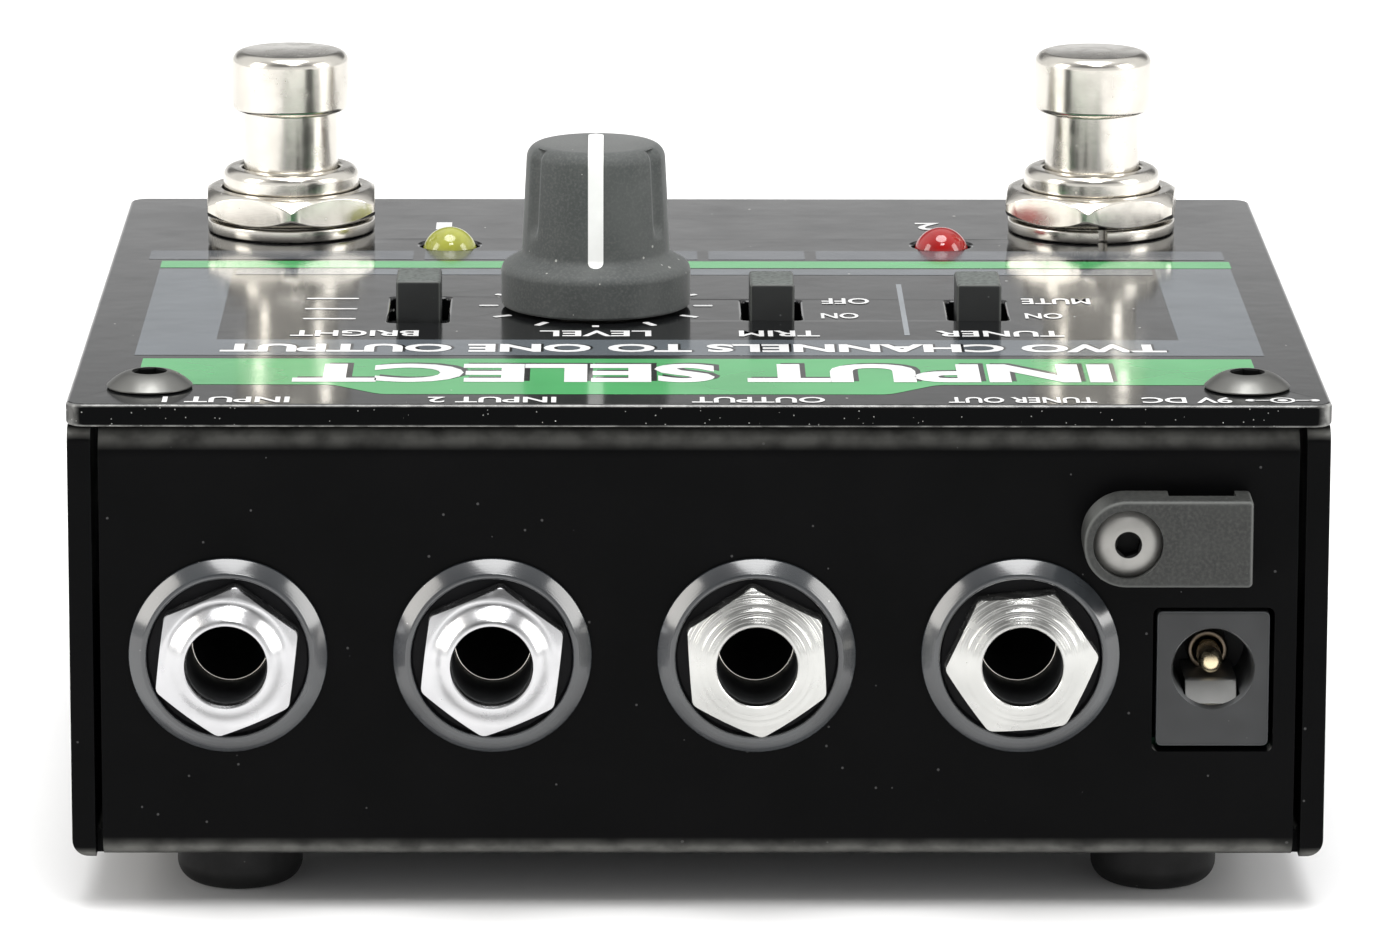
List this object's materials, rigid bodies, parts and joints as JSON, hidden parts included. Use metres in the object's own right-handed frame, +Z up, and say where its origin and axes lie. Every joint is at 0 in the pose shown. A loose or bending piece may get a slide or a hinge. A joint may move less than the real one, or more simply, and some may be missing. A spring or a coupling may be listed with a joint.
{
  "type": "instrument selector foot pedal",
  "caption": "Low folded-steel floor box with a row of panel jacks, a power inlet, footswitches, a level knob, slide switches and indicator lamps.",
  "frame": {"origin": "under the middle of the bounding box, on the plane the rubber feet stand on", "axes": "+X along the row of jacks, from the first input to the power inlet; -Y out of the jack panel, so +Y runs from the jacks to the footswitches; +Z up, out of the lid"},
  "size_m": [0.1026, 0.0954, 0.059],
  "materials": {
    "powder_coat": "satin black powder coat on steel sheet",
    "gloss_paint": "gloss black enamel with printed green, grey and white artwork",
    "zinc_screw": "dull zinc plating",
    "foot_rubber": "matt moulded rubber",
    "moulded_black": "fine moulded texture",
    "spring_steel": "bright spring steel",
    "dark_nylon": "smooth translucent grey nylon",
    "chrome_nut": "polished plating with turned faces",
    "brass": "polished",
    "nickel": "polished nickel plating",
    "soft_touch": "soft-touch rubberised surface with fine dust",
    "white_inlay": "smooth white moulded inlay",
    "yellow_lens": "tinted clear epoxy",
    "red_lens": "tinted clear epoxy",
    "board_green": "solder mask over glass-epoxy board",
    "ribbon_grey": "ribbed flat cable"
  },
  "bodies": {
    "enclosure": {"chassis_tray": "powder_coat", "top_cover": "gloss_paint", "lid_screw_left": "zinc_screw", "lid_screw_right": "zinc_screw", "foot_front_left": "foot_rubber", "foot_front_right": "foot_rubber", "foot_back_left": "foot_rubber", "foot_back_right": "foot_rubber", "jack_input_1": "moulded_black", "jack_contact_input_1": "spring_steel", "jack_washer_input_1": "dark_nylon", "jack_nut_input_1": "chrome_nut", "jack_input_2": "moulded_black", "jack_contact_input_2": "spring_steel", "jack_washer_input_2": "dark_nylon", "jack_nut_input_2": "chrome_nut", "jack_output": "moulded_black", "jack_contact_output": "spring_steel", "jack_washer_output": "dark_nylon", "jack_nut_output": "chrome_nut", "jack_tuner": "moulded_black", "jack_contact_tuner": "spring_steel", "jack_washer_tuner": "dark_nylon", "jack_nut_tuner": "chrome_nut", "dc_inlet": "moulded_black", "dc_pin": "brass", "dc_contact": "spring_steel", "cable_clamp": "moulded_black", "clamp_screw": "zinc_screw", "footswitch_bushing_left": "nickel", "footswitch_casing_left": "moulded_black", "footswitch_spring_left": "spring_steel", "footswitch_nut_left": "nickel", "footswitch_jam_nut_left": "nickel", "footswitch_washer_left": "nickel", "footswitch_bushing_right": "nickel", "footswitch_casing_right": "moulded_black", "footswitch_spring_right": "spring_steel", "footswitch_nut_right": "nickel", "footswitch_jam_nut_right": "nickel", "footswitch_washer_right": "nickel", "potentiometer": "zinc_screw", "pot_nut": "nickel", "bright_switch_housing": "moulded_black", "trim_switch_housing": "moulded_black", "tuner_switch_housing": "moulded_black", "led_yellow": "yellow_lens", "led_red": "red_lens", "control_board": "board_green", "jack_board": "board_green", "ribbon_cable": "ribbon_grey"},
    "left_button": {"footswitch_button_left": "nickel"},
    "right_button": {"footswitch_button_right": "nickel"},
    "level_control": {"level_knob": "soft_touch", "knob_pointer": "white_inlay", "pot_shaft": "spring_steel"},
    "bright_handle": {"bright_switch_handle": "moulded_black"},
    "trim_handle": {"trim_switch_handle": "moulded_black"},
    "tuner_handle": {"tuner_switch_handle": "moulded_black"}
  },
  "joints": [
    {"name": "left_press", "type": "slide", "parent": "enclosure", "child": "left_button", "axis": [0, 0, -1], "range_m": [0, 0.0025], "stiffness_N_per_m": 1500, "springref_m": -0.002, "deforming": ["footswitch_spring_left"]},
    {"name": "right_press", "type": "slide", "parent": "enclosure", "child": "right_button", "axis": [0, 0, -1], "range_m": [0, 0.0025], "stiffness_N_per_m": 1500, "springref_m": -0.002, "deforming": ["footswitch_spring_right"]},
    {"name": "level_turn", "type": "hinge", "parent": "enclosure", "child": "level_control", "pos_m": [-0.0085, -0.0029, 0.0427], "axis": [0, 0, 1], "range_deg": [-150, 150]},
    {"name": "bright_slide", "type": "slide", "parent": "enclosure", "child": "bright_handle", "axis": [0, 1, 0], "range_m": [-0.0024, 0.0024]},
    {"name": "trim_slide", "type": "slide", "parent": "enclosure", "child": "trim_handle", "axis": [0, 1, 0], "range_m": [0, 0.0024]},
    {"name": "tuner_slide", "type": "slide", "parent": "enclosure", "child": "tuner_handle", "axis": [0, 1, 0], "range_m": [0, 0.0024]}
  ]
}
